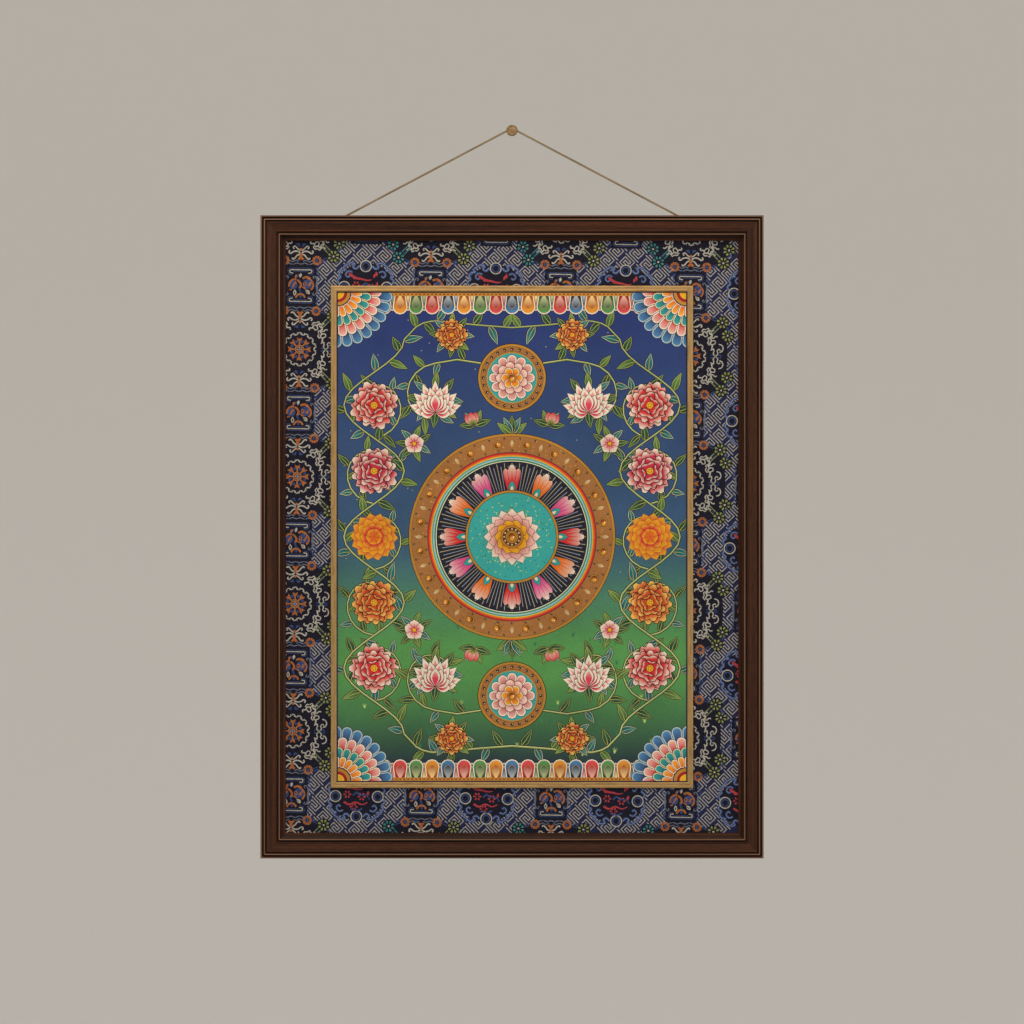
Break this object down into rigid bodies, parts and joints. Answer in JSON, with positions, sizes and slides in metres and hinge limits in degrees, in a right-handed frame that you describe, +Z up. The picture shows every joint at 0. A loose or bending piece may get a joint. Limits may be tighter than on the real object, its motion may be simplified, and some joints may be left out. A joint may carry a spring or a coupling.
{
  "type": "framed thangka with hanging cord and wall peg",
  "caption": "Flat painted cloth panel with a gold fillet on patterned blue brocade, in a dark moulded wooden frame that hangs by a thin cord over a round-headed wall peg.",
  "frame": {"origin": "axis of the wall peg where its flat back meets the wall", "axes": "+Z up, +Y into the wall, so the picture faces -Y and +X is to the viewer's right"},
  "size_m": [0.55, 0.0326, 0.8032],
  "materials": {
    "moulding": "dark red-brown stain, satin lacquer",
    "board": "raw fibreboard, matt",
    "brocade": "woven silk brocade, soft sheen",
    "painting": "distemper on primed cotton, matt",
    "gilt": "gilt, satin",
    "steel": "zinc plated, satin",
    "cord": "twisted cotton, matt",
    "brass": "turned, satin"
  },
  "bodies": {
    "root": {"rail_top": "moulding", "rail_right": "moulding", "rail_bottom": "moulding", "rail_left": "moulding", "backing_board": "board", "brocade_sheet": "brocade", "painting_sheet": "painting", "fillet_top": "gilt", "fillet_right": "gilt", "fillet_bottom": "gilt", "fillet_left": "gilt", "hanger_plate_left": "steel", "hanger_plate_right": "steel", "hanger_ring_left": "steel", "hanger_ring_right": "steel", "hanger_screw_left": "steel", "hanger_screw_right": "steel", "cord_loop_left": "cord", "cord_loop_right": "cord", "hanging_cord": "cord", "wall_peg": "brass"}
  },
  "joints": []
}
